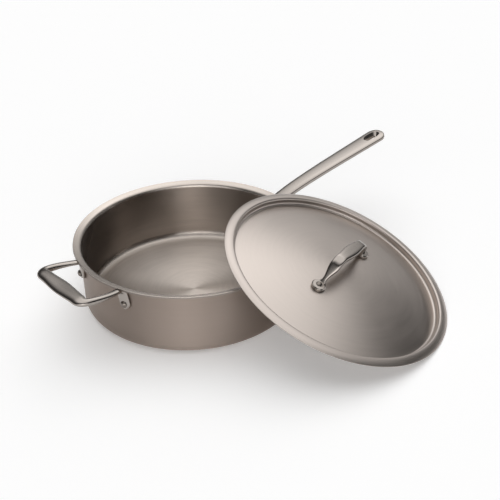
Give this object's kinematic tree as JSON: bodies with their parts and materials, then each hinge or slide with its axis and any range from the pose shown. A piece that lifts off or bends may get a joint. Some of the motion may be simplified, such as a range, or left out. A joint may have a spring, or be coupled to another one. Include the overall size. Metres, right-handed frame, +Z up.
{
  "type": "saute pan with lid",
  "caption": "Deep straight-sided steel saute pan with a flared pouring lip, a long handle, a loop helper handle and a domed lid with a strap handle that leans on the lip.",
  "frame": {"origin": "centre of the pan's base, on the table", "axes": "+X from the pan's axis along the long handle, +Z up, +Y to the left of the long handle"},
  "size_m": [0.5137, 0.423, 0.1138],
  "materials": {
    "outer_skin": "satin, brushed round the wall",
    "core": "plain, bonded between the skins",
    "inner_skin": "satin, spun in rings",
    "cast_handles": "fine satin with softened edges",
    "rivets": "fine satin",
    "lid_sheet": "satin, spun in rings",
    "lid_handle": "fine satin with softened edges",
    "lid_rivets": "fine satin"
  },
  "bodies": {
    "pan": {"pan_outer_ply": "outer_skin", "pan_core_ply": "core", "pan_inner_ply": "inner_skin", "long_handle": "cast_handles", "helper_handle": "cast_handles", "helper_rivet_far": "rivets", "helper_rivet_near": "rivets", "handle_rivet_left": "rivets", "handle_rivet_right": "rivets", "handle_rivet_low": "rivets"},
    "lid": {"lid_shell": "lid_sheet", "lid_handle": "lid_handle", "lid_rivet_near": "lid_rivets", "lid_rivet_far": "lid_rivets"}
  },
  "joints": [
    {"name": "lid_lift", "type": "slide", "parent": "pan", "child": "lid", "axis": [0, 0, 1], "range_m": [0, 0.15]}
  ]
}
